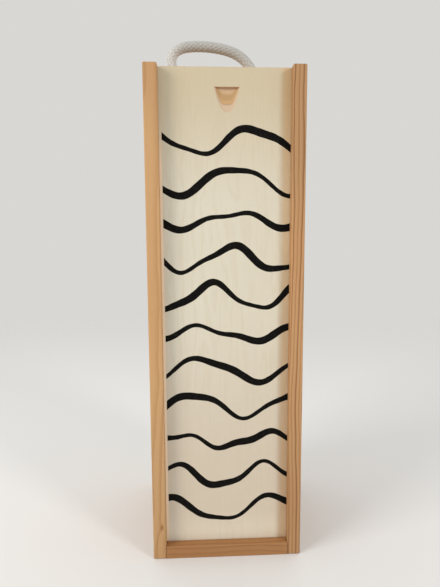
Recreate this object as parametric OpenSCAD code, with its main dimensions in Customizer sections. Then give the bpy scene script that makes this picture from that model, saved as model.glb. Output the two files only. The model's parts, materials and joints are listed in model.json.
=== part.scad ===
// A wine box for one bottle: four pine boards nailed into a frame, a nailed plywood back,
// a plywood lid that slides up and out of grooves, and a rope handle knotted under the top.
// Millimetres, +Z up, the front faces -Y, and the origin is the middle of the base.

/* [Box] */
// Width across the two side boards
box_w = 110; // [96:1:160]
// Height of the side boards
box_h = 353; // [300:1:420]
// Depth from the front edges to the outside of the back panel
box_d = 105; // [95:1:140]
// Thickness of the side, bottom and top boards
board_t = 9.5; // [8:0.5:12]
// Thickness of the plywood back panel
back_t = 4; // [3:0.5:6]

/* [Lid] */
// Thickness of the sliding lid
lid_t = 4; // [3:0.25:5]
// How far the lid's face lies behind the front edges of the boards
lid_recess = 7.4; // [5:0.2:12]
// Depth of the groove in each side board
side_groove_depth = 4.5; // [3:0.5:6]
// Depth of the groove in the bottom board that the lid stands in
foot_groove_depth = 3; // [2:0.5:4]
// Running clearance between each face of the lid and its groove
lid_face_play = 0.25; // [0.15:0.05:0.5]
// Running clearance between each long edge of the lid and the floor of its groove
lid_edge_play = 0.5; // [0.3:0.1:1]

/* [Thumb notch] */
// Width of the notch along its straight top edge
notch_w = 17.7; // [14:0.1:24]
// Height of the notch from its tip to the straight top edge
notch_h = 16.8; // [9:0.1:20]
// Depth of the notch at its straight top edge
notch_depth = 2.5; // [1.5:0.1:2.6]
// Distance from the lid's top end down to the notch
notch_drop = 13; // [8:0.5:30]
// Sideways place of the notch
notch_x = 1.4; // [-10:0.1:10]

/* [Rope handle] */
// Diameter of the rope
rope_d = 8; // [6:0.5:9]
// Gap all round between the rope and its hole
rope_hole_gap = 0.5; // [0.3:0.1:1]
// Distance from the middle of each rope hole to the side board beside it
rope_inset = 14.5; // [13.5:0.5:17]
// Height above the top board about which the handle bends over
bend_height = 6; // [5.5:0.5:9]
// Gap between the swinging loop and the rope standing in each hole
bend_gap = 0.3; // [0.2:0.1:0.5]
// Width of each knot
knot_d = 24; // [18:0.5:26]
// Height of each knot
knot_h = 17; // [14:0.5:24]
// Length of rope left hanging below each knot
tail_l = 14; // [6:1:20]

/* [Nails] */
// Shank diameter of the nails that join the frame boards
frame_nail_d = 1.4; // [1:0.1:2]
// Length of the frame nails
frame_nail_l = 28; // [20:1:35]
// Shank diameter of the pins that hold the back panel
back_nail_d = 1.2; // [0.9:0.1:1.6]
// Length of the back pins
back_nail_l = 16; // [10:1:22]
// Distance of each joint's outer nails from the lid's groove and from the back panel
nail_inset = 15; // [12:1:20]
// Nails in each joint of the bottom board
bottom_nails = 3; // [2:1:4]
// Nails in each joint of the top board, which leave room for the rope between them
top_nails = 2; // [2:2:4]
// Pins along each long edge of the back panel
back_side_nails = 5; // [3:1:9]
// Pins along each short edge of the back panel
back_end_nails = 2; // [1:1:4]
// Distance of the first and last pins of a long edge from the panel's ends
back_nail_inset = 22; // [16:1:40]

/* [Hidden] */

// Colours
PINE = "#cf9f66";
PINE_DARK = "#b98550";
PLYWOOD = "#d9cba8";
COTTON = "#cfc8b6";
STEEL = "#8d8f91";

// Tools cut this far past a face, so that no cut ends on it
past = 1;
smooth = 48;

// Planes along Y, from the front edges to the back
front_y = -box_d / 2;
back_y = box_d / 2;
panel_y = back_y - back_t;
lid_front_y = front_y + lid_recess;
lid_back_y = lid_front_y + lid_t;
groove_front_y = lid_front_y - lid_face_play;
groove_w = lid_t + 2 * lid_face_play;
top_front_y = lid_back_y + lid_face_play;
frame_depth = panel_y - front_y;
top_depth = panel_y - top_front_y;

// Planes along X and Z
inner_w = box_w - 2 * board_t;
lid_w = inner_w + 2 * side_groove_depth - 2 * lid_edge_play;
lid_foot_z = board_t - foot_groove_depth;
top_under_z = box_h - board_t;

// The notch is one sweep of a gouge, whose cylinder leans until it leaves the lid's face at the tip
notch_lean = atan(notch_depth / notch_h);
gouge_r = (pow(notch_w / 2, 2) + pow(notch_depth, 2)) / (2 * notch_depth);
notch_top_z = box_h - notch_drop;

// The rope stands in the middle of the top board's depth
rope_y = (top_front_y + panel_y) / 2;
rope_r = rope_d / 2;
rope_x = inner_w / 2 - rope_inset;
bend_z = box_h + bend_height;
stub_top_z = bend_z - rope_r - bend_gap;
knot_mid_z = top_under_z - knot_h / 2;
knot_flat_d = knot_d * 0.62;
tail_end_z = top_under_z - knot_h - tail_l;

// Route of the loop as [x, height above the bend], drawn for holes at this distance from the middle
route_x = 31;
route = [[-31.8, 0], [-33.6, 3], [-35.6, 6], [-37.4, 9], [-38.8, 12.4], [-39.2, 16],
    [-38.6, 19.6], [-36.6, 22.8], [-33, 25.1], [-28.6, 26.4], [-24, 27], [-19, 27.2],
    [-14, 27.2], [-9, 26.9], [-4, 26.3], [0.8, 25.5], [5.6, 24.3], [10.2, 22.7], [14.8, 20.2],
    [19, 16.8], [22, 13], [24.5, 9.2], [27, 5.6], [29, 2.6], [30.4, 0]];
rope_sides = 12;
// Angles of the rings that round off each end of the loop
end_angles = [80, 50, 20];

// The route spans the holes, however far apart they are
path = [for (p = route) [p.x * rope_x / route_x, rope_y, bend_z + p.y]];
last = len(path) - 1;
function unit(v) = v / norm(v);
function heading(i) = unit(path[min(i + 1, last)] - path[max(i - 1, 0)]);
function ring(centre, along, radius) = [for (k = [0:rope_sides - 1])
    let (turn = 360 * k / rope_sides, side = cross(along, [0, 1, 0]))
    centre + radius * (cos(turn) * side + [0, sin(turn), 0])];
function end_ring(i, outward, angle) = ring(path[i] + outward * rope_r * sin(angle) * heading(i),
    heading(i), rope_r * cos(angle));
rings = concat([for (a = end_angles) end_ring(0, -1, a)],
    [for (i = [0:last]) ring(path[i], heading(i), rope_r)],
    [for (k = [len(end_angles) - 1:-1:0]) end_ring(last, 1, end_angles[k])]);

// Nail positions: evenly spread between two limits
function spread(from, to, count) = [for (k = [0:count - 1])
    count == 1 ? (from + to) / 2 : from + (to - from) * k / (count - 1)];
bottom_nail_y = spread(top_front_y + nail_inset, panel_y - nail_inset, bottom_nails);
top_nail_y = spread(top_front_y + nail_inset, panel_y - nail_inset, top_nails);
back_side_z = spread(back_nail_inset, box_h - back_nail_inset, back_side_nails);
back_end_x = spread(-inner_w / 5, inner_w / 5, back_end_nails);

// A round nail that points down from its head, whose top is at the origin
module nail(shank_d, length) {
    head_d = shank_d * 1.9;
    head_t = shank_d * 0.6;
    point_l = shank_d * 1.5;
    translate([0, 0, -head_t]) cylinder(h = head_t, d = head_d, $fn = smooth);
    translate([0, 0, -length + point_l]) cylinder(h = length - point_l - head_t / 2, d = shank_d, $fn = smooth);
    translate([0, 0, -length]) cylinder(h = point_l, d1 = shank_d * 0.2, d2 = shank_d, $fn = smooth);
}

// The nails of one joint between a side board and an end board; side is -1 at the left, 1 at the right
module joint_nails(side, places_y, z) {
    for (y = places_y)
        translate([side * box_w / 2, y, z]) rotate([0, side * 90, 0]) nail(frame_nail_d, frame_nail_l);
}

module side_joint_nails(side) {
    joint_nails(side, bottom_nail_y, board_t / 2);
    joint_nails(side, top_nail_y, box_h - board_t / 2);
}

module back_pins() {
    for (side = [-1, 1], z = back_side_z)
        translate([side * (box_w - board_t) / 2, back_y, z]) rotate([-90, 0, 0]) nail(back_nail_d, back_nail_l);
    for (x = back_end_x, z = [board_t / 2, box_h - board_t / 2])
        translate([x, back_y, z]) rotate([-90, 0, 0]) nail(back_nail_d, back_nail_l);
}

// One side board, at its place on the left (-1) or the right (1)
module side_board(side) {
    inner_x = side * inner_w / 2;
    outer_x = side * box_w / 2;
    groove_x = inner_x + side * side_groove_depth;
    difference() {
        translate([min(inner_x, outer_x), front_y, 0]) cube([board_t, frame_depth, box_h]);
        translate([min(inner_x - side * past, groove_x), groove_front_y, -past])
            cube([side_groove_depth + past, groove_w, box_h + 2 * past]);
        side_joint_nails(side);
        back_pins();
    }
}

module left_side_board() {
    color(PINE) side_board(-1);
}

module right_side_board() {
    color(PINE) side_board(1);
}

module bottom_board() {
    color(PINE_DARK) difference() {
        translate([-inner_w / 2, front_y, 0]) cube([inner_w, frame_depth, board_t]);
        translate([-inner_w / 2 - past, groove_front_y, lid_foot_z])
            cube([inner_w + 2 * past, groove_w, foot_groove_depth + past]);
        side_joint_nails(-1);
        side_joint_nails(1);
        back_pins();
    }
}

module top_board() {
    color(PINE_DARK) difference() {
        translate([-inner_w / 2, top_front_y, top_under_z]) cube([inner_w, top_depth, board_t]);
        for (x = [-rope_x, rope_x])
            translate([x, rope_y, top_under_z - past])
                cylinder(h = board_t + 2 * past, d = rope_d + 2 * rope_hole_gap, $fn = smooth);
        side_joint_nails(-1);
        side_joint_nails(1);
        back_pins();
    }
}

module back_panel() {
    color(PLYWOOD) difference() {
        translate([-box_w / 2, panel_y, 0]) cube([box_w, back_t, box_h]);
        back_pins();
    }
}

module sliding_lid() {
    color(PLYWOOD) difference() {
        translate([-lid_w / 2, lid_front_y, lid_foot_z]) cube([lid_w, lid_t, box_h - lid_foot_z]);
        thumb_notch();
    }
}

// What the gouge takes out: its leaning cylinder, below the straight stop cut
module thumb_notch() {
    reach = 2 * notch_h;
    intersection() {
        translate([notch_x, lid_front_y, notch_top_z - notch_h]) rotate([-notch_lean, 0, 0])
            translate([0, -gouge_r, -reach]) cylinder(h = 2 * reach, r = gouge_r, $fn = smooth);
        translate([notch_x - notch_w, lid_front_y - past, notch_top_z - 2 * notch_h])
            cube([2 * notch_w, lid_t + past, 2 * notch_h]);
    }
}

// The loop of rope above the top board, up to where it bends over
module rope_handle() {
    points = [for (r = rings, p = r) p];
    walls = [for (i = [0:len(rings) - 2], k = [0:rope_sides - 1])
        let (a = i * rope_sides, n = (k + 1) % rope_sides)
        [a + k, a + n, a + rope_sides + n, a + rope_sides + k]];
    first_cap = [for (k = [rope_sides - 1:-1:0]) k];
    last_cap = [for (k = [0:rope_sides - 1]) (len(rings) - 1) * rope_sides + k];
    color(COTTON) polyhedron(points, concat([first_cap], walls, [last_cap]), convexity = 4);
}

// The rope standing in one hole, its knot against the underside of the top board, and its tail
module rope_end(x) {
    color(COTTON) translate([x, rope_y, 0]) {
        translate([0, 0, tail_end_z])
            cylinder(h = stub_top_z - tail_end_z, d = rope_d, $fn = smooth);
        translate([0, 0, knot_mid_z]) rotate_extrude($fn = smooth) knot_profile();
    }
}

// Half of the knot's outline: round, with a flat where it meets the board and the tail
module knot_profile() {
    bulge = (knot_d - knot_flat_d) / 2;
    polygon([[0, -knot_h / 2], [knot_flat_d / 2, -knot_h / 2],
        for (a = [-75:15:75]) [knot_flat_d / 2 + bulge * cos(a), knot_h / 2 * sin(a)],
        [knot_flat_d / 2, knot_h / 2], [0, knot_h / 2]]);
}

module rope_end_left() {
    rope_end(-rope_x);
}

module rope_end_right() {
    rope_end(rope_x);
}

module bottom_nails_left() {
    color(STEEL) joint_nails(-1, bottom_nail_y, board_t / 2);
}

module bottom_nails_right() {
    color(STEEL) joint_nails(1, bottom_nail_y, board_t / 2);
}

module top_nails_left() {
    color(STEEL) joint_nails(-1, top_nail_y, box_h - board_t / 2);
}

module top_nails_right() {
    color(STEEL) joint_nails(1, top_nail_y, box_h - board_t / 2);
}

module back_nails() {
    color(STEEL) back_pins();
}

left_side_board();
right_side_board();
bottom_board();
top_board();
back_panel();
sliding_lid();
rope_handle();
rope_end_left();
rope_end_right();
bottom_nails_left();
bottom_nails_right();
top_nails_left();
top_nails_right();
back_nails();
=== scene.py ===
"""Looks of a wine box for one bottle: four pine boards, a plywood back, a printed plywood lid that slides
up, a braided cotton rope knotted under the top board, and wire nails. Metres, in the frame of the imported
model: +Z up, and the front faces -Y."""

import json
import math

import bmesh
import bpy
import numpy as np
from mathutils import Matrix, Vector
from mathutils.geometry import delaunay_2d_cdt


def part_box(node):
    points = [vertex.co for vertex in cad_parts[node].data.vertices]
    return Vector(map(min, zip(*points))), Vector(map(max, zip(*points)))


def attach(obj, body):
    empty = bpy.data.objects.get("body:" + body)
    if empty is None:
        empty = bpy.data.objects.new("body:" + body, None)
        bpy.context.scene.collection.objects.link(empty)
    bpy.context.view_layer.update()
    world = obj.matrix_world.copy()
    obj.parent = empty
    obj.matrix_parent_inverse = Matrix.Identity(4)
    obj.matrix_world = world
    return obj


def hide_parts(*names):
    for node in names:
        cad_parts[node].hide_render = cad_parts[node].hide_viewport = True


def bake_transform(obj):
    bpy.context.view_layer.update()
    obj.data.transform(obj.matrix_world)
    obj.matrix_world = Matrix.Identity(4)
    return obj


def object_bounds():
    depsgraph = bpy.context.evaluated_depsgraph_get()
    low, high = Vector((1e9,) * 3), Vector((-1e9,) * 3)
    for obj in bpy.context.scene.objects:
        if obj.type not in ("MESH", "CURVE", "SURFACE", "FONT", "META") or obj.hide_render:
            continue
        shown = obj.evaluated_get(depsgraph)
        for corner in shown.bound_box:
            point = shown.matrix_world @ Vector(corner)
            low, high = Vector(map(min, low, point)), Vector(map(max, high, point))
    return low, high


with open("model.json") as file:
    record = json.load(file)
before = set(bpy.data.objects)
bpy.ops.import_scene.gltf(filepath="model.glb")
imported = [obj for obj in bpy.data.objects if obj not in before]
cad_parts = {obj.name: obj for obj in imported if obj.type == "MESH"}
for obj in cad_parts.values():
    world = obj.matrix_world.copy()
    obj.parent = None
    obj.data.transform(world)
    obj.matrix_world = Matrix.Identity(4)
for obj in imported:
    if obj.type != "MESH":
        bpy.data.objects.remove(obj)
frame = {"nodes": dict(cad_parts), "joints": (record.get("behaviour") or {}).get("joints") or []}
cad_low, cad_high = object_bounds()
MM = 0.001


def colour(red, green, blue):
    """An sRGB colour, 0 to 255, as the linear RGBA that the shaders take."""
    channels = [c / 255 for c in (red, green, blue)]
    return tuple(c / 12.92 if c <= 0.04045 else ((c + 0.055) / 1.055) ** 2.4 for c in channels) + (1.0,)


# ---------------------------------------------------------------------------------------------- camera

CAMERA_AT = (-0.0186, -0.3583, 0.2338)
CAMERA_YAW, CAMERA_PITCH, CAMERA_ROLL = (math.radians(a) for a in (-2.64, 6.47, -0.31))
FOCAL_PX = 440
IMAGE_HEIGHT_PX = 587
SENSOR_MM = 36


def make_camera():
    """The camera at the photograph's place: yaw turns it left, pitch tips it down, roll leans it."""
    up = Vector((0, 0, 1))
    level_ahead = Vector((-math.sin(CAMERA_YAW), math.cos(CAMERA_YAW), 0))
    level_right = Vector((math.cos(CAMERA_YAW), math.sin(CAMERA_YAW), 0))
    ahead = level_ahead * math.cos(CAMERA_PITCH) - up * math.sin(CAMERA_PITCH)
    above = up * math.cos(CAMERA_PITCH) + level_ahead * math.sin(CAMERA_PITCH)
    right = level_right * math.cos(CAMERA_ROLL) + above * math.sin(CAMERA_ROLL)
    above = above * math.cos(CAMERA_ROLL) - level_right * math.sin(CAMERA_ROLL)
    data = bpy.data.cameras.new("camera")
    data.sensor_width = SENSOR_MM
    data.lens = FOCAL_PX * SENSOR_MM / IMAGE_HEIGHT_PX
    data.clip_start = 0.01
    camera = bpy.data.objects.new("camera", data)
    bpy.context.scene.collection.objects.link(camera)
    turn = Matrix((right, above, -ahead)).transposed()
    camera.matrix_world = Matrix.Translation(CAMERA_AT) @ turn.to_4x4()
    bpy.context.scene.camera = camera


# -------------------------------------------------------------------------------------- shader builder


class Tree:
    """Adds nodes to one node tree. Values may be sockets or plain numbers, and sockets come back."""

    def __init__(self, tree):
        self.tree = tree
        tree.nodes.clear()

    def add(self, kind, inputs=None, **settings):
        node = self.tree.nodes.new(kind)
        for key, value in settings.items():
            setattr(node, key, value)
        for key, value in (inputs or {}).items():
            self.put(value, node.inputs[key])
        return node

    def put(self, value, socket):
        if isinstance(value, bpy.types.NodeSocket):
            self.tree.links.new(value, socket)
        else:
            socket.default_value = value

    def math(self, operation, *values, clamp=False):
        inputs = dict(enumerate(values))
        return self.add("ShaderNodeMath", inputs, operation=operation, use_clamp=clamp).outputs[0]

    def total(self, *values):
        result = values[0]
        for value in values[1:]:
            result = self.math("ADD", result, value)
        return result

    def times(self, *values):
        result = values[0]
        for value in values[1:]:
            result = self.math("MULTIPLY", result, value)
        return result

    def minus(self, a, b):
        return self.math("SUBTRACT", a, b)

    def join(self, x, y, z):
        return self.add("ShaderNodeCombineXYZ", {0: x, 1: y, 2: z}).outputs[0]

    def split(self, vector):
        return self.add("ShaderNodeSeparateXYZ", {0: vector}).outputs[:3]

    def coordinate(self, kind):
        return self.add("ShaderNodeTexCoord").outputs[kind]

    def attribute(self, name, output="Vector"):
        return self.add("ShaderNodeAttribute", attribute_name=name).outputs[output]

    def noise(self, x, y, z, detail=2.0, roughness=0.5):
        """Noise from 0 to 1 at a place given by three values."""
        inputs = {"Vector": self.join(x, y, z), "Scale": 1.0, "Detail": detail, "Roughness": roughness}
        return self.add("ShaderNodeTexNoise", inputs).outputs["Fac"]

    def rise(self, value, low, high, to_low=0.0, to_high=1.0):
        """A smooth step from to_low at low to to_high at high."""
        inputs = {"Value": value, "From Min": low, "From Max": high, "To Min": to_low, "To Max": to_high}
        return self.add("ShaderNodeMapRange", inputs, interpolation_type="SMOOTHSTEP").outputs[0]

    def mix(self, factor, a, b, blend="MIX"):
        node = self.add("ShaderNodeMix", data_type="RGBA", blend_type=blend, clamp_factor=True)
        for value, socket in ((factor, 0), (a, 6), (b, 7)):
            self.put(value, node.inputs[socket])
        return node.outputs[2]

    def brighten(self, tone, gain):
        """The colour tone times a number."""
        node = self.add("ShaderNodeVectorMath", operation="SCALE")
        self.put(tone, node.inputs[0])
        self.put(gain, node.inputs["Scale"])
        return node.outputs[0]

    def bump(self, height, depth):
        """A normal from a height of 0 to 1, whose full step is depth metres."""
        inputs = {"Height": height, "Distance": depth, "Strength": 1.0}
        return self.add("ShaderNodeBump", inputs).outputs[0]

    def surface(self, base, roughness, normal=None, **sockets):
        """A principled surface. What sockets names is uniform, and is set on the shader itself."""
        shader = self.add("ShaderNodeBsdfPrincipled", {"Base Color": base, "Roughness": roughness})
        if normal is not None:
            self.put(normal, shader.inputs["Normal"])
        for key, value in sockets.items():
            shader.inputs[key.replace("_", " ")].default_value = value
        output = self.add("ShaderNodeOutputMaterial")
        self.tree.links.new(shader.outputs[0], output.inputs[0])


def new_material(name):
    material = bpy.data.materials.new(name)
    material.use_nodes = True
    return material, Tree(material.node_tree)


# ------------------------------------------------------------------------------------------------ wood


def grain_place(tree, grain):
    """The place in mm as two distances across the grain and one along it, and how squarely the surface
    cuts the fibres."""
    x, y, z = (tree.times(c, 1 / MM) for c in tree.split(tree.coordinate("Object")))
    nx, ny, nz = (tree.math("ABSOLUTE", c) for c in tree.split(tree.coordinate("Normal")))
    return {"X": (y, z, x, nx), "Y": (z, x, y, ny), "Z": (x, y, z, nz)}[grain]


# A knot's width as a share of its length along the grain
KNOT_SHAPE = 0.75
# How far a knot's pull on the growth rings reaches, and how strong it is in knot radii
KNOT_REACH, KNOT_PULL = 0.22, 1.1
# How plainly a knot shows: one cut across, and a pin knot cut near its tip
KNOT_SHOWS, PIN_KNOT_SHOWS = 1.0, 0.45


def knot_distance(tree, across, along, knot):
    """How far a place is from a knot's middle, where 1 is the knot's rim. Knots are a little longer
    along the grain."""
    middle, height, radius = knot
    a = tree.times(tree.minus(across, middle), 1 / radius)
    b = tree.times(tree.minus(along, height), KNOT_SHAPE / radius)
    return tree.math("SQRT", tree.total(tree.times(a, a), tree.times(b, b)))


def pith_distance(tree, place, pith, lean, wander, ring, seed):
    """How far a place is from the pith, which leans and wanders, and whose rings waver."""
    u, v, w = place
    sway = tree.noise(tree.times(u, 0.012), tree.times(v, 0.012), tree.total(tree.times(w, 0.006), seed))
    waver = tree.noise(tree.times(u, 0.05), tree.times(v, 0.05), tree.total(tree.times(w, 0.02), seed + 7))
    from_pith = []
    for across, middle, drift, sign in ((u, pith[0], lean[0], 1), (v, pith[1], lean[1], -1)):
        straight = tree.minus(tree.minus(across, middle), tree.times(w, drift))
        from_pith.append(tree.total(straight, tree.times(tree.minus(sway, 0.5), sign * wander)))
    radius = tree.math("SQRT", tree.total(*(tree.times(p, p) for p in from_pith)))
    return tree.total(radius, tree.times(tree.minus(waver, 0.5), ring * 0.9))


def late_wood(tree, radius, ring, contrast, seed):
    """How dark a place at this distance from the pith is: each year's growth starts pale, darkens
    towards its end and stops sharply, and no two years are alike."""
    turns = tree.times(radius, 1 / ring)
    uneven = tree.noise(tree.times(turns, 0.45), seed, 3.1, detail=1.0)
    turns = tree.total(turns, tree.times(uneven, 1.5))
    phase = tree.math("FRACT", turns)
    year = tree.noise(tree.times(tree.math("FLOOR", turns), 7.31), seed, 0.5, detail=0.0)
    late = tree.times(tree.rise(phase, 0.42, 0.9), tree.rise(phase, 0.94, 1.0, 1.0, 0.0))
    return tree.times(late, tree.rise(year, 0.25, 0.75, 0.55, 1.0), contrast)


def with_knots(tree, tone, fields, fibre):
    """The wood's colour with its knots: ringed hearts, dark rims and resin round them."""
    for far, _, strength in fields:
        rings = tree.math("SINE", tree.total(tree.times(far, 13.0), tree.times(fibre, 2.0)))
        heart = tree.mix(tree.rise(rings, -1, 1), colour(132, 82, 43), colour(158, 104, 58))
        heart = tree.mix(tree.rise(far, 0.72, 0.98), heart, colour(92, 54, 30))
        tone = tree.mix(tree.rise(far, 1.0, 2.6, 0.35, 0.0), tone, colour(176, 122, 72))
        tone = tree.mix(tree.rise(far, 0.92, 1.12, strength, 0.0), tone, heart)
    return tone


def pine(name, grain, pith, lean, ring, pale, dark, contrast=1.0, wander=14, knots=(), pin_knots=(),
         toned=(), seed=0.0):
    """Sanded bare pine as a solid: growth rings round a leaning pith, fibres along the grain, knots and
    darker cut ends.
    pith is the pith's place across the grain in mm, lean its drift per mm along it, wander how far it
    strays from a straight line, and ring the width of a growth ring. knots run along the first direction
    across the grain and pin_knots along the second, each as (middle, height along the grain, radius).
    toned are stretches along the grain over which painted shade changes the wood's brightness, each as
    (from, to, brightness before, brightness after)."""
    material, tree = new_material(name)
    u, v, w, cut = grain_place(tree, grain)
    radius = pith_distance(tree, (u, v, w), pith, lean, wander, ring, seed)
    fields = [(knot_distance(tree, v, w, k), k[2], KNOT_SHOWS) for k in knots]
    fields += [(knot_distance(tree, u, w, k), k[2], PIN_KNOT_SHOWS) for k in pin_knots]
    for far, size, _ in fields:
        pull = tree.math("EXPONENT", tree.times(far, -KNOT_REACH, far))
        radius = tree.minus(radius, tree.times(pull, size * KNOT_PULL))
    late = late_wood(tree, radius, ring, contrast, seed)

    along = tree.total(tree.times(w, 0.035), seed)
    fibre = tree.noise(tree.times(u, 2.6), tree.times(v, 2.6), along, 5.0, 0.6)
    fleck = tree.noise(tree.times(u, 9.0), tree.times(v, 9.0), tree.times(w, 0.22), 2.0)
    along = tree.total(tree.times(w, 0.009), seed + 3)
    stain = tree.noise(tree.times(u, 0.03), tree.times(v, 0.03), along, 2.0)
    tone = tree.mix(late, pale, dark)
    gain = tree.total(0.88, tree.times(fibre, 0.13), tree.times(fleck, 0.05), tree.times(stain, 0.07))
    tone = tree.brighten(tone, gain)
    tone = tree.mix(tree.rise(stain, 0.35, 0.75, 0.0, 0.16), tone, colour(214, 148, 82), "MULTIPLY")
    tone = with_knots(tree, tone, fields, fibre)
    pores = tree.noise(tree.times(u, 5.0), tree.times(v, 5.0), w, 3.0)
    sawn = tree.brighten(tone, tree.total(0.62, tree.times(pores, 0.2)))
    tone = tree.mix(tree.rise(cut, 0.55, 0.9), tone, sawn)
    # Painted shade along the board's length
    for stretch in toned:
        tone = tree.brighten(tone, tree.rise(w, *stretch))

    relief = tree.total(tree.times(fibre, 0.5), tree.times(late, 0.3), tree.times(fleck, 0.2))
    rough = tree.minus(tree.total(0.56, tree.times(fibre, 0.12)), tree.times(late, 0.08))
    tree.surface(tone, rough, tree.bump(relief, 0.00012), Specular_IOR_Level=0.32)
    return material


# The print's field on the lid (mm): its left edge, and its first and last waves
PRINT_LEFT = -43.7
WAVE_COUNT = 11
WAVE_TOP, WAVE_BOTTOM = 304.0, 34.0
# Where the painted warm shade and reflection on the lid's right margin sets in, and where it is at full
# strength
BOUNCE_FROM, BOUNCE_TO = 36.5, 42.5
# The plywood's layers (mm): each face veneer, the core, and half a glue line
PLY_FACE = 0.8
PLY_CORE = 2.4
CORE_BACK = PLY_FACE + PLY_CORE
GLUE_HALF = 0.06


def veneer(tree, w, figure, cloud, toned):
    """The colour of a face veneer before its fibres: watered figure and clouds, with painted shade that
    makes it duller towards the foot, painted light at its very foot, and painted shade that makes it darker
    and yellower towards the top."""
    bands = tree.math("SINE", tree.times(figure, 46.0))
    face = tree.mix(tree.rise(bands, 0.1, 1.0, 0.0, 0.3), colour(221, 213, 193), colour(211, 198, 171))
    face = tree.mix(tree.rise(cloud, 0.35, 0.7, 0.0, 0.35), face, colour(216, 205, 182))
    # Painted shade over the lower part of the face
    shade_low = tree.times(tree.rise(w, 60.0, 200.0, 0.9, 0.0), tree.rise(w, 5.0, 35.0, 0.4 * toned, toned))
    face = tree.mix(shade_low, face, colour(209, 194, 173))
    # Painted light at the very foot
    face = tree.brighten(face, tree.rise(w, 12.0, 36.0, 1 + 0.1 * toned, 1.0))
    # Painted shade: darker and yellower towards the top
    return tree.mix(tree.rise(w, 250.0, 350.0, 0.0, 0.9 * toned), face, colour(205, 189, 157))


def with_margins(tree, face, u, w, margins):
    """The veneer with painted light on its long edges: at the left a painted cool shade and a painted warm
    reflection on the bare strip beside the print, at the right a painted warm shade and reflection that
    is paler near its top."""
    # Painted cool shade where the left board shades the lid
    face = tree.mix(tree.rise(u, -41.0, -30.0, margins, 0.0), face, colour(248, 252, 255), "MULTIPLY")
    # Painted warm reflection of the left board on the bare strip beside the print
    beside_print = tree.rise(w, WAVE_TOP - 20, WAVE_TOP + 20, 0.85 * margins, 0.0)
    bounce_left = tree.times(tree.rise(u, PRINT_LEFT - 0.4, PRINT_LEFT, 1.0, 0.0), beside_print)
    face = tree.mix(bounce_left, face, colour(246, 222, 192))
    # Painted shade and warm reflection of the right board along the lid's right margin
    bounce_right = tree.rise(u, BOUNCE_FROM, BOUNCE_TO, 0.0, margins)
    face = tree.mix(bounce_right, face, colour(246, 228, 206), "MULTIPLY")
    # Painted light: the right margin paler near its top
    painted_light_top = tree.times(bounce_right, tree.rise(w, 205.0, 235.0, 0.0, 0.11))
    return tree.brighten(face, tree.total(1.0, painted_light_top))


def ply_core(tree, u, v, w, end_x):
    """The core's colour. Its grain runs along X, and its cut ends are darker."""
    cross = tree.noise(tree.times(u, 0.05), tree.times(v, 2.0), tree.times(w, 2.2), 4.0, 0.6)
    middle = tree.mix(cross, colour(192, 150, 100), colour(214, 176, 126))
    return tree.brighten(middle, tree.rise(end_x, 0.5, 0.9, 1.0, 0.7))


def cut_layers(tree, tone, depth):
    """The core's darker and paler layers and the two glue lines, by their depth behind the outer face."""
    darker = tree.times(tree.rise(depth, 0.9, 1.4), tree.rise(depth, 1.6, 2.1, 1.0, 0.0))
    tone = tree.mix(tree.times(darker, 0.75), tone, colour(182, 146, 104))
    paler = tree.times(tree.rise(depth, 1.7, 2.2, 0.0, 0.7), tree.rise(depth, 2.6, 2.9, 1.0, 0.0))
    tone = tree.mix(paler, tone, colour(214, 184, 154))
    glue = []
    for line in (PLY_FACE, CORE_BACK):
        near = tree.math("ABSOLUTE", tree.minus(depth, line))
        glue.append(tree.rise(near, GLUE_HALF * 0.5, GLUE_HALF * 2, 0.35, 0.0))
    return tree.mix(tree.math("MAXIMUM", *glue), tone, colour(138, 92, 52))


def plywood_nodes(tree, outer_y, seed, toned, margins):
    """The colour, roughness and height of three-ply poplar whose outer face is at outer_y (mm): veneers
    with their grain along Z on a core with its grain along X, and how open the vessels are. toned is how
    strongly painted shade and light change the face with its height, and margins how strongly painted
    shade and reflections change it along its two long edges."""
    u, v, w, end_z = grain_place(tree, "Z")
    end_x = grain_place(tree, "X")[3]
    depth = tree.math("ABSOLUTE", tree.minus(v, outer_y))
    in_core = tree.times(tree.rise(depth, PLY_FACE - 0.05, PLY_FACE + 0.12),
                         tree.rise(depth, CORE_BACK - 0.03, CORE_BACK + 0.03, 1.0, 0.0))

    along = tree.total(tree.times(w, 0.012), seed)
    streak = tree.noise(tree.times(u, 1.1), tree.times(v, 1.5), along, 5.0, 0.62)
    vessel = tree.noise(tree.times(u, 7.0), tree.times(v, 7.0), tree.times(w, 0.3), 2.0)
    figure = tree.noise(tree.times(u, 0.06), seed, tree.times(w, 0.011), 3.0, 0.45)
    cloud = tree.noise(tree.times(u, 0.018), seed, tree.times(w, 0.008), 2.0)
    face = with_margins(tree, veneer(tree, w, figure, cloud, toned), u, w, margins)
    gain = tree.total(0.93, tree.times(streak, 0.09), tree.times(vessel, 0.05))
    face = tree.brighten(face, gain)
    face = tree.brighten(face, tree.rise(end_z, 0.5, 0.9, 1.0, 0.74))
    face = tree.mix(tree.rise(end_z, 0.02, 0.13, 0.0, 0.85), face, colour(208, 178, 148))

    tone = cut_layers(tree, tree.mix(in_core, face, ply_core(tree, u, v, w, end_x)), depth)
    height = tree.total(tree.times(streak, 0.6), tree.times(vessel, 0.4))
    return tone, tree.total(0.55, tree.times(streak, 0.12)), height, vessel


def plywood(name, outer_y, seed, toned, margins):
    material, tree = new_material(name)
    tone, rough, height, _ = plywood_nodes(tree, outer_y, seed, toned, margins)
    tree.surface(tone, rough, tree.bump(height, 0.00008), Specular_IOR_Level=0.3)
    return material


def ink(name, outer_y, seed, toned, margins):
    """Black print that has soaked into the veneer, a little thin where the fibres stand up."""
    material, tree = new_material(name)
    wood, _, height, vessel = plywood_nodes(tree, outer_y, seed, toned, margins)
    thin = tree.rise(vessel, 0.62, 0.8, 0.0, 0.12)
    black = tree.mix(thin, colour(10, 9, 7), wood)
    tree.surface(black, 0.65, tree.bump(height, 0.00005), Specular_IOR_Level=0.08)
    return material


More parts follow.
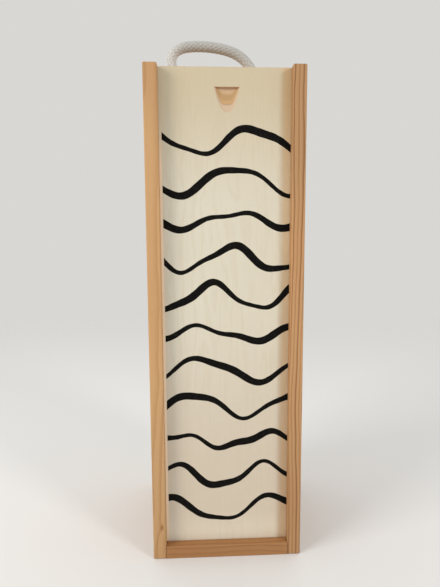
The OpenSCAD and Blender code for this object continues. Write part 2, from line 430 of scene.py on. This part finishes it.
def steel(name):
    """Bright drawn wire, dulled and a little stained where the hammer struck it."""
    material, tree = new_material(name)
    x, y, z = (tree.times(c, 1 / MM) for c in tree.split(tree.coordinate("Object")))
    scratch = tree.noise(tree.times(x, 9.0), tree.times(y, 9.0), tree.times(z, 9.0), 4.0, 0.7)
    stain = tree.noise(tree.times(x, 1.7), tree.times(y, 1.7), tree.times(z, 1.7), 2.0)
    tone = tree.mix(tree.rise(stain, 0.4, 0.7), colour(178, 178, 176), colour(118, 110, 100))
    rough = tree.total(0.28, tree.times(scratch, 0.3))
    tree.surface(tone, rough, tree.bump(scratch, 0.00004), Metallic=1.0)
    return material


# -------------------------------------------------------------------------------------------- the lights

# Each lamp: its turn from the front, its rise (degrees), how far off it is and how wide (m), its power
LAMPS = {"key": (-60, 24, 1.7, 0.75, 14.2), "side": (46, 22, 1.7, 0.35, 8.0)}
FILL_LIGHT = (1.0, 1.0, 1.0, 1.0)
FILL_FRONT, FILL_BACK = 0.50, 0.95
BACKGROUND = colour(216, 215, 212)
FLOOR_TONE = colour(231, 230, 227)


def shown_directly(tree):
    """1 for rays that show the background itself: straight from the camera, in a gloss or through glass."""
    path = tree.add("ShaderNodeLightPath")
    seen = tree.math("MAXIMUM", path.outputs["Is Camera Ray"], path.outputs["Is Glossy Ray"])
    return tree.math("MAXIMUM", seen, path.outputs["Is Transmission Ray"])


def make_world():
    world = bpy.data.worlds.new("studio")
    world.use_nodes = True
    bpy.context.scene.world = world
    tree = Tree(world.node_tree)
    _, backward, _ = tree.split(tree.coordinate("Generated"))
    strength = tree.rise(backward, -0.8, 0.8, FILL_FRONT, FILL_BACK)
    fill = tree.add("ShaderNodeBackground", {"Color": FILL_LIGHT, "Strength": strength})
    seen = tree.add("ShaderNodeBackground", {"Color": BACKGROUND, "Strength": 1.0})
    pick = tree.add("ShaderNodeMixShader", {0: shown_directly(tree)})
    tree.put(fill.outputs[0], pick.inputs[1])
    tree.put(seen.outputs[0], pick.inputs[2])
    output = tree.add("ShaderNodeOutputWorld")
    tree.put(pick.outputs[0], output.inputs[0])


def make_lamp(name, turn, rise, far, size, watts):
    """A square lamp that looks at the middle of the box."""
    data = bpy.data.lights.new(name, "AREA")
    data.shape = "SQUARE"
    data.size = size
    data.energy = watts
    light = bpy.data.objects.new(name, data)
    bpy.context.scene.collection.objects.link(light)
    turn, rise = math.radians(turn), math.radians(rise)
    towards = Vector((math.sin(turn) * math.cos(rise), -math.cos(turn) * math.cos(rise), math.sin(rise)))
    light.location = (cad_low + cad_high) / 2 + towards * far
    light.rotation_mode = "QUATERNION"
    light.rotation_quaternion = (-towards).to_track_quat("-Z", "Y")


FLOOR_R = 2.4
FLOOR_FADE = (0.3, 1.3)


def make_floor():
    """A round pale floor that fades into the background towards its rim."""
    bm = bmesh.new()
    bmesh.ops.create_circle(bm, cap_ends=True, segments=96, radius=FLOOR_R)
    mesh = bpy.data.meshes.new("floor")
    bm.to_mesh(mesh)
    bm.free()
    floor = bpy.data.objects.new("floor", mesh)
    bpy.context.scene.collection.objects.link(floor)
    material, tree = new_material("floor")
    mesh.materials.append(material)
    x, y, _ = tree.split(tree.coordinate("Object"))
    far = tree.math("SQRT", tree.total(tree.times(x, x), tree.times(y, y)))
    matt = tree.add("ShaderNodeBsdfDiffuse", {"Color": FLOOR_TONE})
    clear = tree.add("ShaderNodeBsdfTransparent")
    pick = tree.add("ShaderNodeMixShader", {0: tree.rise(far, *FLOOR_FADE)})
    tree.put(matt.outputs[0], pick.inputs[1])
    tree.put(clear.outputs[0], pick.inputs[2])
    tree.put(pick.outputs[0], tree.add("ShaderNodeOutputMaterial").inputs[0])


# ------------------------------------------------------------------------------------------- mesh tools


def piece(bm, name, materials, body=None, replaces=()):
    """Makes a mesh a named piece of the object."""
    mesh = bpy.data.meshes.new(name)
    bmesh.ops.recalc_face_normals(bm, faces=bm.faces)
    bm.to_mesh(mesh)
    bm.free()
    for material in materials:
        mesh.materials.append(material)
    made = bpy.data.objects.new(name, mesh)
    bpy.context.scene.collection.objects.link(made)
    if body:
        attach(made, body)
    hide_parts(*replaces)
    return made


def shade_round(bm, sharp_angle):
    """Smooth shading, with creases where faces meet at more than the angle."""
    for face in bm.faces:
        face.smooth = True
    for edge in bm.edges:
        edge.smooth = len(edge.link_faces) == 2 and edge.calc_face_angle(0.0) < sharp_angle


FLAT = math.radians(1)
CORNER = math.radians(40)
SHORTEST_ARRIS = 0.003
ARRIS_STEPS = 3
SAME_PLACE = 1e-6


def wooden_copy(node, name, material, ease):
    """A CAD board's own shape as a new piece: its flat faces made whole and its long arrises eased."""
    bm = bmesh.new()
    bm.from_mesh(frame["nodes"][node].data)
    bmesh.ops.remove_doubles(bm, verts=bm.verts, dist=SAME_PLACE)
    bmesh.ops.dissolve_limit(bm, angle_limit=FLAT, verts=bm.verts, edges=bm.edges)
    arrises = [e for e in bm.edges if e.calc_length() > SHORTEST_ARRIS and e.calc_face_angle(0.0) > CORNER]
    bmesh.ops.bevel(bm, geom=arrises, offset=ease, segments=ARRIS_STEPS, profile=0.5, affect="EDGES",
                    clamp_overlap=True)
    made = piece(bm, name, [material], "box", [node])
    for face in made.data.polygons:
        face.use_smooth = True
    normals = made.modifiers.new("normals", "WEIGHTED_NORMAL")
    normals.keep_sharp = True
    return made


# ------------------------------------------------------------------------------------------------- rope

ROPE_D = 0.008
# The loop's route as in the part's source: (x, height above the bend)
ROUTE = [(-0.0318, 0), (-0.0336, 0.003), (-0.0356, 0.006), (-0.0374, 0.009), (-0.0388, 0.0124),
         (-0.0392, 0.016), (-0.0386, 0.0196), (-0.0366, 0.0228), (-0.033, 0.0251), (-0.0286, 0.0264),
         (-0.024, 0.027), (-0.019, 0.0272), (-0.014, 0.0272), (-0.009, 0.0269), (-0.004, 0.0263),
         (0.0008, 0.0255), (0.0056, 0.0243), (0.0102, 0.0227), (0.0148, 0.0202), (0.019, 0.0168),
         (0.022, 0.013), (0.0245, 0.0092), (0.027, 0.0056), (0.029, 0.0026), (0.0304, 0)]
STEP = 0.0005
CARRIERS = 8
LAY = 0.03
YARN_HALF_W, YARN_HALF_T, YARN_WAVE = 0.0013, 0.00045, 0.00024
YARN_SIDES = 8
CORE_R, CORE_SIDES = 0.0029, 16
KNOTTED = 0.82
# Passes that wear the corners of the two routes round
LOOP_EASING, KNOT_EASING = 60, 12


def evenly(points, step):
    """A polyline again, with points a step apart."""
    along = np.concatenate([[0], np.cumsum(np.linalg.norm(np.diff(points, axis=0), axis=1))])
    count = max(3, int(round(along[-1] / step)) + 1)
    places = np.linspace(0, along[-1], count)
    return np.stack([np.interp(places, along, points[:, k]) for k in range(3)], axis=1)


def eased(points, passes):
    """A polyline with its corners worn round and its ends kept."""
    points = points.copy()
    for _ in range(passes):
        points[1:-1] = 0.5 * points[1:-1] + 0.25 * (points[:-2] + points[2:])
    return points


def carried_frames(points):
    """A tangent and two crosswise directions at each point, carried along without twist."""
    tangents = np.gradient(points, axis=0)
    tangents /= np.linalg.norm(tangents, axis=1)[:, None]
    across = np.cross(tangents[0], (0.3, 0.9, 0.1))
    sides = []
    for tangent in tangents:
        across = across - tangent * (across @ tangent)
        across = across / np.linalg.norm(across)
        sides.append(across)
    sides = np.array(sides)
    return tangents, sides, np.cross(tangents, sides)


def add_tube(bm, rings, fibre_layer, ridge_layer, metres):
    """A closed tube through rings of points, each given as (place, fibre place, ridge). The fibre places
    start at a whole number of metres, which sets each yarn's pattern apart from the others'."""
    made = []
    for ring in rings:
        row = []
        for place, fibre, ridge in ring:
            vert = bm.verts.new(place)
            vert[fibre_layer] = Vector((fibre[0] + metres, fibre[1], fibre[2]))
            vert[ridge_layer] = ridge
            row.append(vert)
        made.append(row)
    for a, b in zip(made, made[1:]):
        for k in range(len(a)):
            n = (k + 1) % len(a)
            bm.faces.new((a[k], a[n], b[n], b[k])).smooth = True
    for ring in (made[0], made[-1]):
        bm.faces.new(ring)


def yarn_rings(line, side, other, turn, sense, thickness):
    """One flat yarn of the braid: it winds round the line in one sense, over and under the yarns that
    wind the other way."""
    along = np.arange(len(line)) * STEP
    angle = turn + sense * 2 * math.pi * along / LAY
    wave = sense * np.cos(CARRIERS * 2 * math.pi * along / LAY)
    middle_r = ROPE_D / 2 - YARN_HALF_T - YARN_WAVE
    outward = np.cos(angle)[:, None] * side + np.sin(angle)[:, None] * other
    centre = line + outward * ((middle_r + YARN_WAVE * wave) * thickness)[:, None]
    tangent = np.gradient(centre, axis=0)
    tangent /= np.linalg.norm(tangent, axis=1)[:, None]
    outward = outward - tangent * (outward * tangent).sum(axis=1)[:, None]
    outward /= np.linalg.norm(outward, axis=1)[:, None]
    across = np.cross(tangent, outward)
    rings = []
    for i, middle in enumerate(centre):
        ring = []
        for k in range(YARN_SIDES):
            a = 2 * math.pi * k / YARN_SIDES
            w, t = YARN_HALF_W * math.cos(a), YARN_HALF_T * math.sin(a)
            place = middle + (w * across[i] + t * outward[i]) * thickness[i]
            ridge = 0.5 + 0.35 * wave[i] + 0.15 * math.sin(a) - 0.3 * math.cos(a) ** 2
            ring.append((place, (along[i], w, t), ridge))
        rings.append(ring)
    return rings


def core_rings(line, side, other, thickness):
    rings = []
    for i, middle in enumerate(line):
        ring = []
        for k in range(CORE_SIDES):
            a = 2 * math.pi * k / CORE_SIDES
            y, z = CORE_R * thickness[i] * math.cos(a), CORE_R * thickness[i] * math.sin(a)
            ring.append((middle + y * side[i] + z * other[i], (i * STEP, y, z), 0.0))
        rings.append(ring)
    return rings


def rope_mesh(line, thickness):
    """A braided sheath of flat yarns over a core, round a centreline. thickness scales it at each point."""
    bm = bmesh.new()
    fibre = bm.verts.layers.float_vector.new("fibre")
    ridge = bm.verts.layers.float.new("ridge")
    _, side, other = carried_frames(line)
    for k in range(CARRIERS):
        for sense in (-1, 1):
            rings = yarn_rings(line, side, other, 2 * math.pi * k / CARRIERS, sense, thickness)
            add_tube(bm, rings, fibre, ridge, k if sense < 0 else CARRIERS + k)
    add_tube(bm, core_rings(line, side, other, thickness), fibre, ridge, 2 * CARRIERS)
    return bm


# Painted shade on the loop's arch (mm along the rope): where it sets in and where it fades again
ARCH_SHADE_FROM, ARCH_SHADE_TO = (36.0, 52.0), (86.0, 118.0)
FADED = 0.3


def cotton(name, arch_shade=0.0):
    """Unbleached braided cotton: pale yarns with painted shade in the furrows between them and fine fibres
    along them. Its other argument sets how strongly painted shade darkens the loop's arch."""
    material, tree = new_material(name)
    s, a, b = (tree.times(c, 1 / MM) for c in tree.split(tree.attribute("fibre")))
    ridge = tree.attribute("ridge", "Fac")
    fibre = tree.noise(tree.times(s, 0.8), tree.times(a, 7.0), tree.times(b, 7.0), 4.0, 0.65)
    tuft = tree.noise(tree.times(s, 0.35), tree.times(a, 1.2), tree.times(b, 1.2), 2.0)
    # Painted shade in the furrows between the yarns, where ridge is low
    tone = tree.mix(tree.rise(ridge, 0.0, 0.55), colour(190, 188, 181), colour(214, 212, 206))
    tone = tree.mix(tree.rise(tuft, 0.4, 0.8, 0.0, 0.4), tone, colour(204, 199, 187))
    tone = tree.brighten(tone, tree.total(0.86, tree.times(fibre, 0.24)))
    along = tree.times(tree.math("FRACT", tree.times(s, MM)), 1 / MM)
    # Painted shade on the loop's arch, which fades towards its far end
    arch_mask = tree.times(tree.rise(along, *ARCH_SHADE_FROM, 0.0, arch_shade), tree.rise(along, *ARCH_SHADE_TO, 1.0, FADED))
    tone = tree.mix(arch_mask, tone, colour(226, 227, 225), "MULTIPLY")
    tree.surface(tone, 0.85, tree.bump(fibre, 0.00015), Specular_IOR_Level=0.15, Sheen_Weight=0.2,
                 Sheen_Roughness=0.5)
    return material


def hole_places():
    """The two rope holes: their x, their y, and the heights of the top board's under and upper sides."""
    board_low, board_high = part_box("top_board")
    places = []
    for node in ("rope_end_left", "rope_end_right"):
        low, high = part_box(node)
        places.append((low + high) / 2)
    return places[0].x, places[1].x, places[0].y, board_low.z, board_high.z


def joint_place(name):
    return Vector(next(j for j in frame["joints"] if j["name"] == name)["pos_m"])


def loop_line():
    """The rope's centreline, from the underside of one hole over the loop to the underside of the other."""
    left, right, y, under, over = hole_places()
    bend = joint_place("handle_swing").z
    points = [(left, y, under), (left, y, (under + over) / 2), (left, y, over)]
    points += [(x, y, bend + height) for x, height in ROUTE]
    points += [(right, y, over), (right, y, (under + over) / 2), (right, y, under)]
    return evenly(eased(evenly(np.array(points), STEP), LOOP_EASING), STEP)


def make_loop(material):
    line = loop_line()
    loop = piece(rope_mesh(line, np.ones(len(line))), "rope_loop", [material],
                 replaces=["rope_handle"])
    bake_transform(loop)
    return loop, line


# The squeezed rope's thickness, the distance between the knot's points, and the rounds of tightening
KNOT_GAP = 0.0066
KNOT_SPAN = 0.0009
KNOT_ROUNDS = 900
RESPACE_EVERY = 5
# Points nearer than this along the rope don't push each other, and those nearer to its axis may rise
NEIGHBOURS = 1.7 * KNOT_GAP
ON_AXIS = 0.25 * KNOT_GAP
# The loose knot: the ring that it winds round, how far it swings out and down from that, the height of
# its middle, and the turn (radians) at which each of its ends leaves it
KNOT_R, KNOT_TUBE, KNOT_RISE = 0.0085, 0.004, 0.0055
KNOT_MIDDLE = -0.0115
KNOT_OPEN = 0.10
# Below the board, where the rope is squeezed to its knotted thickness, and where its tail is free again
HOLE_EASE, TAIL_FROM, TAIL_EASE = 0.003, 0.018, 0.006


def knot_start(top, tail):
    """An open overhand knot about the Z axis, loose, from a point above it down to its tail."""
    turns = np.linspace(KNOT_OPEN, 4 * math.pi - KNOT_OPEN, 160)
    out = KNOT_R + KNOT_TUBE * np.cos(1.5 * turns)
    height = KNOT_MIDDLE - KNOT_RISE * np.sin(1.5 * turns)
    ring = np.stack([out * np.cos(turns), out * np.sin(turns), height], axis=1)
    above = [(0, 0, top), (0, 0, 0), (0.005, -0.002, KNOT_MIDDLE + 0.0075),
             (0.0115, -0.003, KNOT_MIDDLE + 0.005)]
    below = [(0.0115, 0.003, KNOT_MIDDLE - 0.005), (0.005, 0.002, KNOT_MIDDLE - 0.0085),
             (0, 0, KNOT_MIDDLE - 0.013), (0, 0, tail)]
    return np.concatenate([above, ring[::-1], below])


def tightened(points, ceiling):
    """Draws the knot tight: the line shortens, and stretches that come nearer than the rope's squeezed
    thickness push each other away."""
    points = evenly(points, KNOT_SPAN)
    for round_ in range(KNOT_ROUNDS):
        points = eased(points, 2)
        apart = points[:, None] - points[None]
        far = np.linalg.norm(apart, axis=2) + np.eye(len(points))
        i, j = np.indices(far.shape)
        near = (far < KNOT_GAP) & (abs(i - j) * KNOT_SPAN > NEIGHBOURS)
        push = np.where(near, 0.5 * (KNOT_GAP - far), 0.0) / far
        shift = (apart * push[..., None]).sum(axis=1) / np.maximum(near.sum(axis=1), 1)[:, None]
        shift[[0, -1]] = 0
        points = points + shift
        off_axis = np.hypot(points[:, 0], points[:, 1]) > ON_AXIS
        points[:, 2] = np.where(off_axis, np.minimum(points[:, 2], ceiling), points[:, 2])
        if round_ % RESPACE_EVERY == RESPACE_EVERY - 1:
            points = evenly(points, KNOT_SPAN)
    return points


def make_knot(name, node, x, material, mirror):
    """The knot under one hole and its tail, in the space of its CAD solid."""
    _, _, y, under, over = hole_places()
    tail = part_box(node)[0].z - under
    line = tightened(knot_start((over - under) * 0.5, tail), -KNOT_GAP / 2)
    line = evenly(eased(evenly(line, STEP), KNOT_EASING), STEP)
    line = line * (mirror, 1, 1) + (x, y, under)
    below = under - line[:, 2]
    in_hole = np.clip(1 - below / HOLE_EASE, 0, 1)
    in_tail = np.clip((below - TAIL_FROM) / TAIL_EASE, 0, 1)
    thickness = KNOTTED + (1 - KNOTTED) * np.clip(in_hole + in_tail, 0, 1)
    return piece(rope_mesh(line, thickness), name, [material], "box", [node])


# -------------------------------------------------------------------------------------------------- lid

LID_EASE = 0.3
# The printed waves (mm): the step between an outline's points, then each wave's rise, its length and its
# thickness, as the middle value and how far the waves differ from it
WAVE_STEP = 1.0
SWELL, SWELL_VARIES = 7.5, 2.5
WAVE_LENGTH, LENGTH_VARIES = 74, 9
THICKNESS, THICKNESS_VARIES = 4.2, 1.3
NOTCH_W, NOTCH_H, NOTCH_DEPTH, NOTCH_DROP, NOTCH_X = 17.7, 16.8, 2.5, 13.0, 1.4
NOTCH_ROWS, NOTCH_COLUMNS = 16, 28
# How the rows crowd towards the notch's tip, how quickly it widens from there, and how square its bed is
ROW_POWER, WIDTH_POWER, BED_POWER = 1.4, 0.42, 4
# The lid's two materials
BARE, PRINTED = 0, 1
# The outlines that the lid's face is cut along come in this order: its rim, the notch, then the waves
NOTCH_OUTLINE, FIRST_WAVE = 1, 2
# A face whose normal has more Y than this is level with the lid
LEVEL = 0.9999


def wave_outline(index, right):
    """The outline of one printed wave in the lid's plane, in mm as (x, z): square at the left, running
    to the lid's right edge."""
    share = index / (WAVE_COUNT - 1)
    middle = WAVE_TOP + (WAVE_BOTTOM - WAVE_TOP) * share
    swell = SWELL + SWELL_VARIES * math.sin(2.1 * index + 0.4)
    length = WAVE_LENGTH + LENGTH_VARIES * math.sin(1.3 * index)
    start = 0.55 * index + 0.5 * math.sin(1.7 * index)
    xs = np.arange(PRINT_LEFT - 4, right + 4, WAVE_STEP)
    turn = 2 * math.pi * xs / length + start
    height = middle + swell * np.sin(turn) + 1.6 * np.sin(2.3 * turn + index)
    thick = THICKNESS + THICKNESS_VARIES * np.sin(0.8 * turn + 1.9 * index) + 0.12 * np.sin(9.7 * turn)
    slope = np.gradient(height, xs)
    across = np.stack([-slope, np.ones_like(slope)], axis=1) / np.sqrt(1 + slope ** 2)[:, None]
    line = np.stack([xs, height], axis=1)
    places = np.append(np.arange(PRINT_LEFT, right - WAVE_STEP / 2, WAVE_STEP), right)
    edges = []
    for sign in (-1, 1):
        side = line + across * thick[:, None] * sign / 2
        edges.append([(x, z) for x, z in zip(places, np.interp(places, side[:, 0], side[:, 1]))])
    return edges[0] + edges[1][::-1]


def notch_rows(top_z):
    """The notch as rows of (x, depth, z) in mm, from its tip up to its straight top edge, as a flat gouge
    cuts it: nearly level across, with steep flanks."""
    rows = []
    for i in range(NOTCH_ROWS + 1):
        share = (i / NOTCH_ROWS) ** ROW_POWER
        half = NOTCH_W / 2 * share ** WIDTH_POWER
        row = []
        for k in range(NOTCH_COLUMNS + 1):
            aside = -math.cos(math.pi * k / NOTCH_COLUMNS)
            depth = NOTCH_DEPTH * share * (1 - aside ** BED_POWER)
            row.append((NOTCH_X + half * aside, max(depth, 0.0), top_z - NOTCH_H * (1 - share)))
        rows.append(row)
    return rows


def lid_face(bm, low, high, rows, y):
    """The lid's front face with the print's outlines and the notch cut into it. Ink gets material 1."""
    corners = [(low[0], low[1]), (high[0], low[1]), (high[0], high[1]), (low[0], high[1])]
    notch = [(r[0][0], r[0][2]) for r in rows[1:]] + [(p[0], p[2]) for p in rows[-1][1:-1]]
    notch += [(r[-1][0], r[-1][2]) for r in rows[:0:-1]] + [(rows[0][0][0], rows[0][0][2])]
    outlines = [corners, notch[::-1]] + [wave_outline(k, high[0]) for k in range(WAVE_COUNT)]
    points, faces = [], []
    for outline in outlines:
        faces.append(list(range(len(points), len(points) + len(outline))))
        points += outline
    verts, _, triangles, _, _, sources = delaunay_2d_cdt([Vector(p) for p in points], [], faces, 0, 1e-5)
    made = [bm.verts.new((v.x * MM, y * MM, v.y * MM)) for v in verts]
    for triangle, source in zip(triangles, sources):
        if NOTCH_OUTLINE not in source:
            face = bm.faces.new([made[k] for k in triangle])
            face.material_index = PRINTED if any(s >= FIRST_WAVE for s in source) else BARE


def lid_rim(bm, rim, steps):
    """Carries the front face's rim back over the lid's edges, by steps of (outward, back) in mm, and
    closes the back. The print runs on over the front arris, and over nothing behind it."""
    low = Vector([min(v.co[k] for v in rim) for k in range(3)])
    high = Vector([max(v.co[k] for v in rim) for k in range(3)])
    middle = (low + high) / 2
    rim = sorted(rim, key=lambda v: math.atan2(v.co.z - middle.z, v.co.x - middle.x))
    for outward, back in steps:
        ring = []
        for vert in rim:
            place = vert.co + Vector((0, back * MM, 0))
            for axis in (0, 2):
                if abs(vert.co[axis] - low[axis]) < SAME_PLACE:
                    place[axis] -= outward * MM
                elif abs(vert.co[axis] - high[axis]) < SAME_PLACE:
                    place[axis] += outward * MM
            ring.append(bm.verts.new(place))
        for k in range(len(rim)):
            beside = bm.edges.get((rim[k], rim[k - 1])).link_faces[0]
            face = bm.faces.new((rim[k], rim[k - 1], ring[k - 1], ring[k]))
            face.material_index = beside.material_index if outward > 0 else BARE
        rim = ring
        low += Vector((-outward, back, -outward)) * MM
        high += Vector((outward, back, outward)) * MM
    bm.faces.new(rim[::-1])


def make_lid(wood, black):
    low, high = (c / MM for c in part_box("sliding_lid"))
    rows = notch_rows(high.z - NOTCH_DROP)
    left, right = low.x + LID_EASE, high.x - LID_EASE
    foot, top = low.z + LID_EASE, high.z - LID_EASE

    def on_rim(vert):
        gaps = (vert.co.x - left * MM, vert.co.x - right * MM, vert.co.z - foot * MM, vert.co.z - top * MM)
        return min(abs(gap) for gap in gaps) < SAME_PLACE

    bm = bmesh.new()
    lid_face(bm, (left, foot), (right, top), rows, low.y)
    rim = [v for v in bm.verts if on_rim(v)]
    thick = high.y - low.y
    lid_rim(bm, rim, [(LID_EASE, LID_EASE), (0, thick - 2 * LID_EASE), (-LID_EASE, LID_EASE)])
    grid = [[bm.verts.new((x * MM, (low.y + depth) * MM, z * MM)) for x, depth, z in row] for row in rows]
    for a, b in zip(grid, grid[1:]):
        for k in range(NOTCH_COLUMNS):
            bm.faces.new((a[k], a[k + 1], b[k + 1], b[k]))
    lip = [bm.verts.new((x * MM, low.y * MM, z * MM)) for x, _, z in rows[-1]]
    for k in range(NOTCH_COLUMNS):
        bm.faces.new((grid[-1][k], grid[-1][k + 1], lip[k + 1], lip[k]))
    bmesh.ops.remove_doubles(bm, verts=bm.verts, dist=2 * SAME_PLACE)
    bmesh.ops.dissolve_degenerate(bm, dist=SAME_PLACE / 10, edges=bm.edges)
    shade_round(bm, CORNER)
    for face in bm.faces:
        face.normal_update()
        face.smooth = abs(face.normal.y) < LEVEL
    return piece(bm, "lid_board", [wood, black], "lid", ["sliding_lid"])


# ------------------------------------------------------------------------------------------------ nails

HEAD_SINK = 0.00025
NAIL_RATIO = 1.9
NAIL_SIDES = 24
# A nail head's rounded outline as (share of its radius, depth below its crown in radii)
HEAD_PROFILE = [(0, 0), (0.55, 0.02), (0.85, 0.08), (0.98, 0.2), (0.98, 0.45)]
HEAD_DEPTH = 0.6
POINT_LENGTH, POINT_TIP = 3, 0.2


def separate_solids(bm):
    """The vertices of each separate solid in a mesh, in the mesh's own order."""
    seen, solids = set(), []
    for first in bm.verts:
        if first in seen:
            continue
        seen.add(first)
        solid = [first]
        for vert in solid:
            for edge in vert.link_edges:
                other = edge.other_vert(vert)
                if other not in seen:
                    seen.add(other)
                    solid.append(other)
        solids.append(solid)
    return solids


def make_nails(node, name, axis, material):
    """Wire nails in the places of a CAD node's nails: slightly domed heads set just under the surface."""
    source = bmesh.new()
    source.from_mesh(frame["nodes"][node].data)
    bmesh.ops.remove_doubles(source, verts=source.verts, dist=SAME_PLACE)
    bm = bmesh.new()
    for solid in separate_solids(source):
        places = np.array([v.co for v in solid])
        add_nail(bm, places.min(axis=0), places.max(axis=0), Vector(axis))
    source.free()
    shade_round(bm, CORNER)
    return piece(bm, name, [material], "box", [node])


def add_nail(bm, low, high, axis):
    """One nail in the box from low to high, whose head is on the side that axis points to."""
    along = max(range(3), key=lambda k: abs(axis[k]))
    head_r = min(high[k] - low[k] for k in range(3) if k != along) / 2
    shank_r = head_r / NAIL_RATIO
    middle = (low + high) / 2
    middle[along] = high[along] if axis[along] > 0 else low[along]
    length = high[along] - low[along]
    profile = [(head_r * share, -HEAD_SINK - head_r * depth) for share, depth in HEAD_PROFILE]
    profile += [(shank_r, -HEAD_SINK - head_r * HEAD_DEPTH), (shank_r, -length + shank_r * POINT_LENGTH),
                (shank_r * POINT_TIP, -length)]
    turn = Vector((0, 0, 1)).rotation_difference(axis)
    rings = []
    for radius, height in profile:
        ring = []
        for k in range(NAIL_SIDES):
            a = 2 * math.pi * k / NAIL_SIDES
            place = Vector((radius * math.cos(a), radius * math.sin(a), height))
            ring.append(bm.verts.new(Vector(middle) + turn @ place))
        rings.append(ring)
    for a, b in zip(rings, rings[1:]):
        for k in range(NAIL_SIDES):
            n = (k + 1) % NAIL_SIDES
            bm.faces.new((a[k], b[k], b[n], a[n]))
    bm.faces.new(rings[-1])
    bmesh.ops.remove_doubles(bm, verts=rings[0], dist=SAME_PLACE / 10)


# --------------------------------------------------------------------------------------------- the parts

EASE, SIDE_EASE, PANEL_EASE = 0.0005, 0.0009, 0.0003


def make_rope():
    """The loop and the two knots."""
    loop, rope_line = make_loop(cotton("cotton_loop", arch_shade=1.0))
    rope_cotton = cotton("cotton_ends")
    hole_left, hole_right, rope_y, _, rope_mouth = hole_places()
    knots = [make_knot("rope_knot_left", "rope_end_left", hole_left, rope_cotton, 1),
             make_knot("rope_knot_right", "rope_end_right", hole_right, rope_cotton, -1)]


def make_side_boards():
    """The left board is flat-sawn, and shows a quiet front edge. The right one is cut nearer its pith,
    whose narrow rings stand close together on its edge."""
    # toned gives both boards painted shade towards their foot and their top
    left_pine = pine(
        "left_pine", "Z", pith=(-96, -140), lean=(0.010, 0.012), ring=3.4, pale=colour(204, 161, 112),
        dark=colour(180, 133, 85), contrast=0.75, knots=[(14, 236, 5.2)], pin_knots=[(-48.6, 25, 1.2)],
        toned=[(0, 190, 0.85, 1.0), (290, 345, 1.0, 0.92)], seed=1.0)
    right_pine = pine(
        "right_pine", "Z", pith=(4.6, -8), lean=(0.014, 0.013), ring=1.9, pale=colour(193, 148, 102),
        dark=colour(143, 99, 58), contrast=1.0, wander=5, knots=[(-12, 118, 4.4)],
        toned=[(0, 190, 0.86, 1.04), (230, 300, 1.0, 0.86)], seed=5.0)
    wooden_copy("left_side_board", "left_side_pine", left_pine, SIDE_EASE)
    wooden_copy("right_side_board", "right_side_pine", right_pine, SIDE_EASE)


def make_end_boards():
    """The bottom board, which is darker, and the top board."""
    bottom_pine = pine(
        "bottom_pine", "X", pith=(8, -38), lean=(0.02, 0.01), ring=3.2, pale=colour(168, 121, 76),
        dark=colour(136, 94, 56), contrast=0.6, seed=9.0)
    top_pine = pine(
        "top_pine", "X", pith=(-14, 300), lean=(0.015, -0.02), ring=3.0, pale=colour(204, 160, 114),
        dark=colour(158, 110, 70), contrast=0.9, seed=13.0)
    wooden_copy("bottom_board", "bottom_pine", bottom_pine, EASE)
    wooden_copy("top_board", "top_pine", top_pine, EASE)


def make_panels():
    """The plain back panel and the printed lid."""
    back_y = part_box("back_panel")[1].y / MM
    back = plywood("back_plywood", back_y, seed=21.0, toned=0.3, margins=0.0)
    wooden_copy("back_panel", "back_plywood", back, PANEL_EASE)
    look = {"outer_y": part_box("sliding_lid")[0].y / MM, "seed": 31.0, "toned": 1.0, "margins": 1.0}
    make_lid(plywood("lid_plywood", **look), ink("lid_ink", **look))


def make_all_nails():
    nail_steel = steel("nail_steel")
    for side, sign in (("left", -1), ("right", 1)):
        for place in ("bottom", "top"):
            make_nails(f"{place}_nails_{side}", f"{place}_nail_wire_{side}", (sign, 0, 0), nail_steel)
    make_nails("back_nails", "back_pin_wire", (0, 1, 0), nail_steel)


make_camera()
make_rope()
make_side_boards()
make_end_boards()
make_panels()
make_all_nails()
make_floor()
make_world()
for lamp, settings in LAMPS.items():
    make_lamp(lamp, *settings)
bpy.context.scene.view_settings.view_transform = "Standard"
